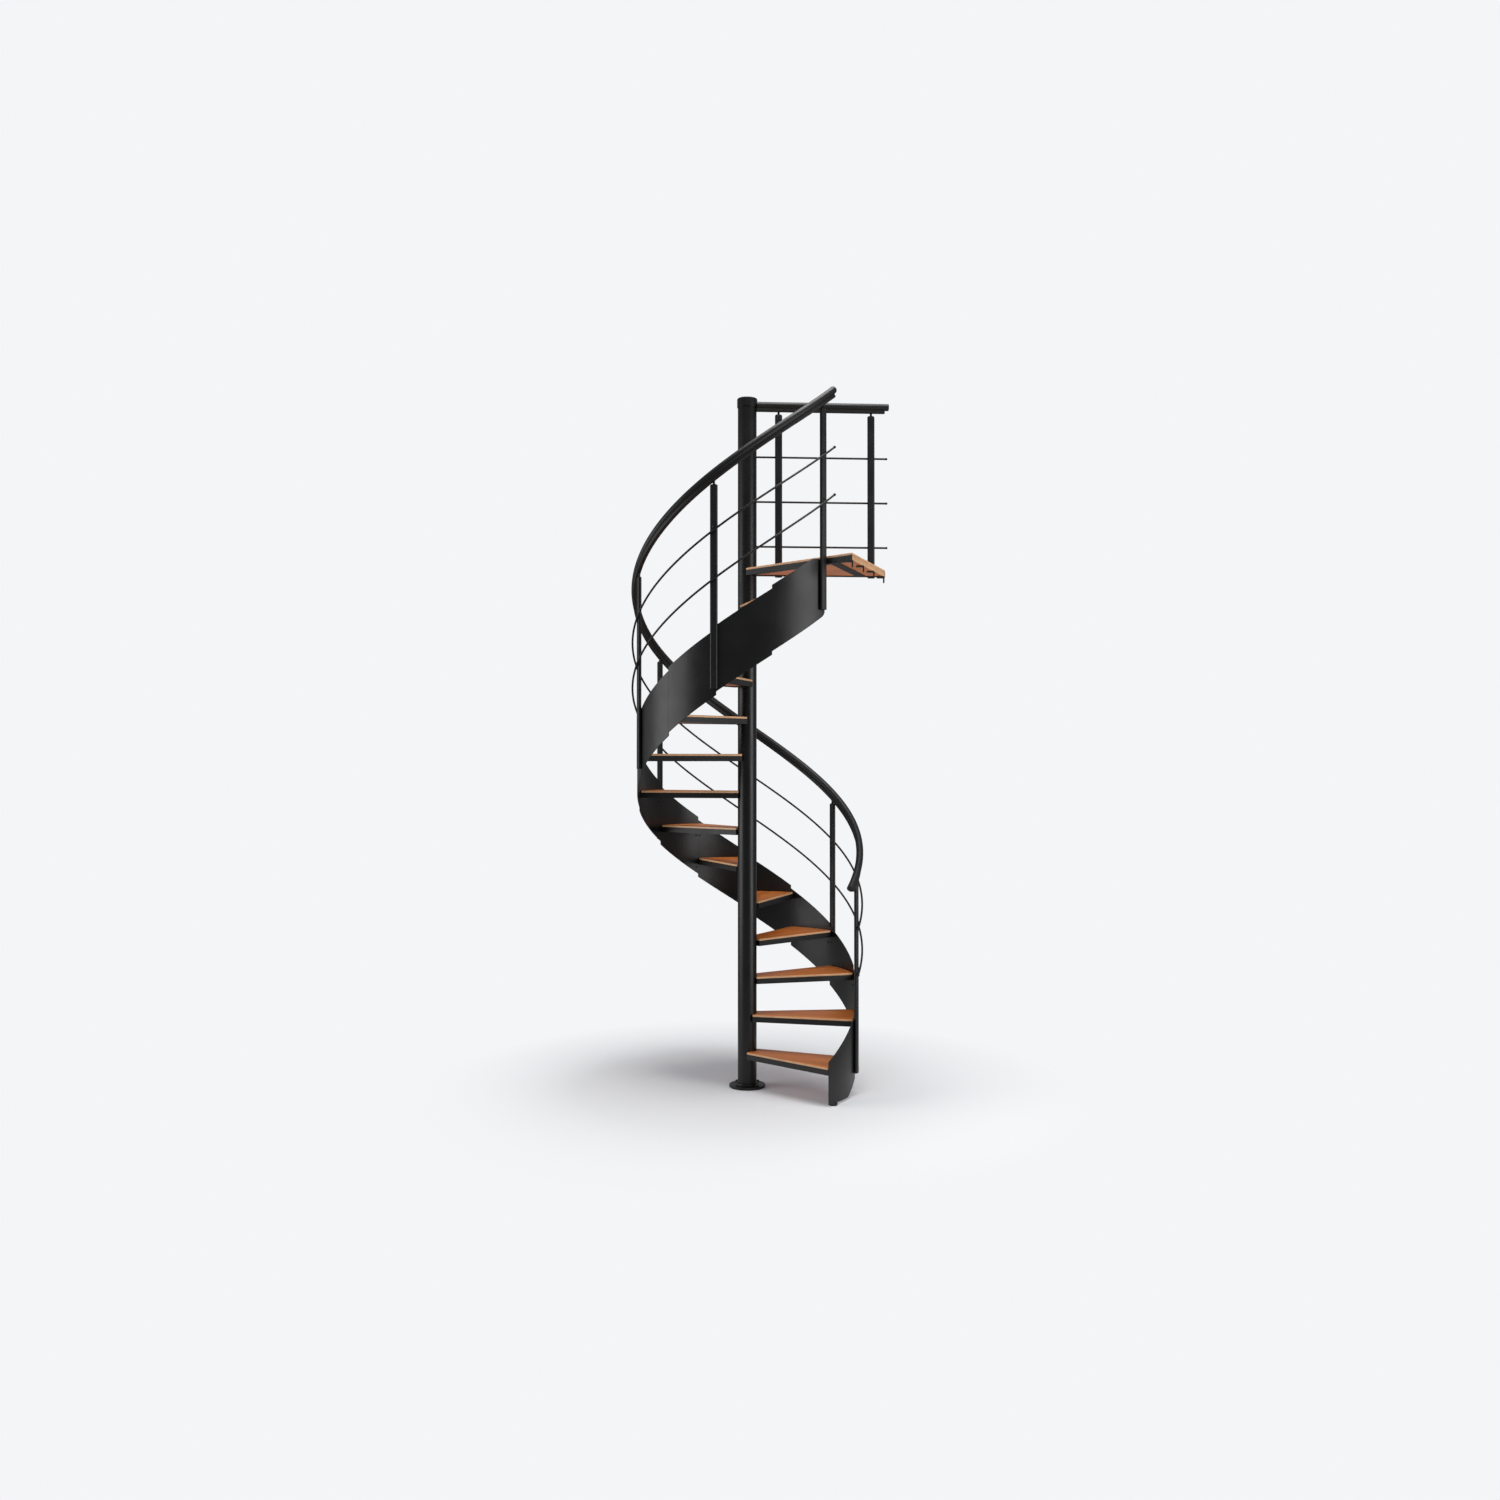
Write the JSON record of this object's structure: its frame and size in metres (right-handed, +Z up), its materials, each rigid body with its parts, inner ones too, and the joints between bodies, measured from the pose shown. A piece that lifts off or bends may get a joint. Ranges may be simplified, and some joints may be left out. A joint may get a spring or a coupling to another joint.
{
  "type": "spiral staircase",
  "caption": "Spiral stair: wooden wedge treads between a round column and a rolled plate stringer, with oval posts, thin rods, a round handrail and a wedge landing.",
  "frame": {"origin": "on the floor, centre of the column's base flange underside", "axes": "+Z up the column; +X to the right and +Y away from the viewer, who faces the foot of the flight; the flight climbs counter-clockwise from above"},
  "size_m": [1.5669, 1.4024, 4.174],
  "materials": {
    "black_steel": "fine satin powder coat",
    "stair_timber": "clear satin varnish on strip-glued hardwood"
  },
  "bodies": {
    "root": {"base_flange": "black_steel", "centre_column": "black_steel", "column_cap": "black_steel", "tread_frames": "black_steel", "stringer_plate_01": "black_steel", "stringer_plate_02": "black_steel", "stringer_plate_03": "black_steel", "stringer_plate_04": "black_steel", "stringer_plate_05": "black_steel", "stringer_plate_06": "black_steel", "stringer_plate_07": "black_steel", "stringer_plate_08": "black_steel", "stringer_plate_09": "black_steel", "stringer_plate_10": "black_steel", "stringer_plate_11": "black_steel", "stringer_plate_12": "black_steel", "stringer_plate_13": "black_steel", "stringer_foot": "black_steel", "flight_posts": "black_steel", "flight_rods": "black_steel", "flight_handrail": "black_steel", "flight_handrail_bar": "black_steel", "landing_frame": "black_steel", "landing_brackets": "black_steel", "landing_posts": "black_steel", "landing_rods": "black_steel", "landing_handrail": "black_steel", "landing_handrail_bar": "black_steel", "tread_board_01": "stair_timber", "tread_board_02": "stair_timber", "tread_board_03": "stair_timber", "tread_board_04": "stair_timber", "tread_board_05": "stair_timber", "tread_board_06": "stair_timber", "tread_board_07": "stair_timber", "tread_board_08": "stair_timber", "tread_board_09": "stair_timber", "tread_board_10": "stair_timber", "tread_board_11": "stair_timber", "tread_board_12": "stair_timber", "tread_board_13": "stair_timber", "landing_board": "stair_timber"}
  },
  "joints": []
}
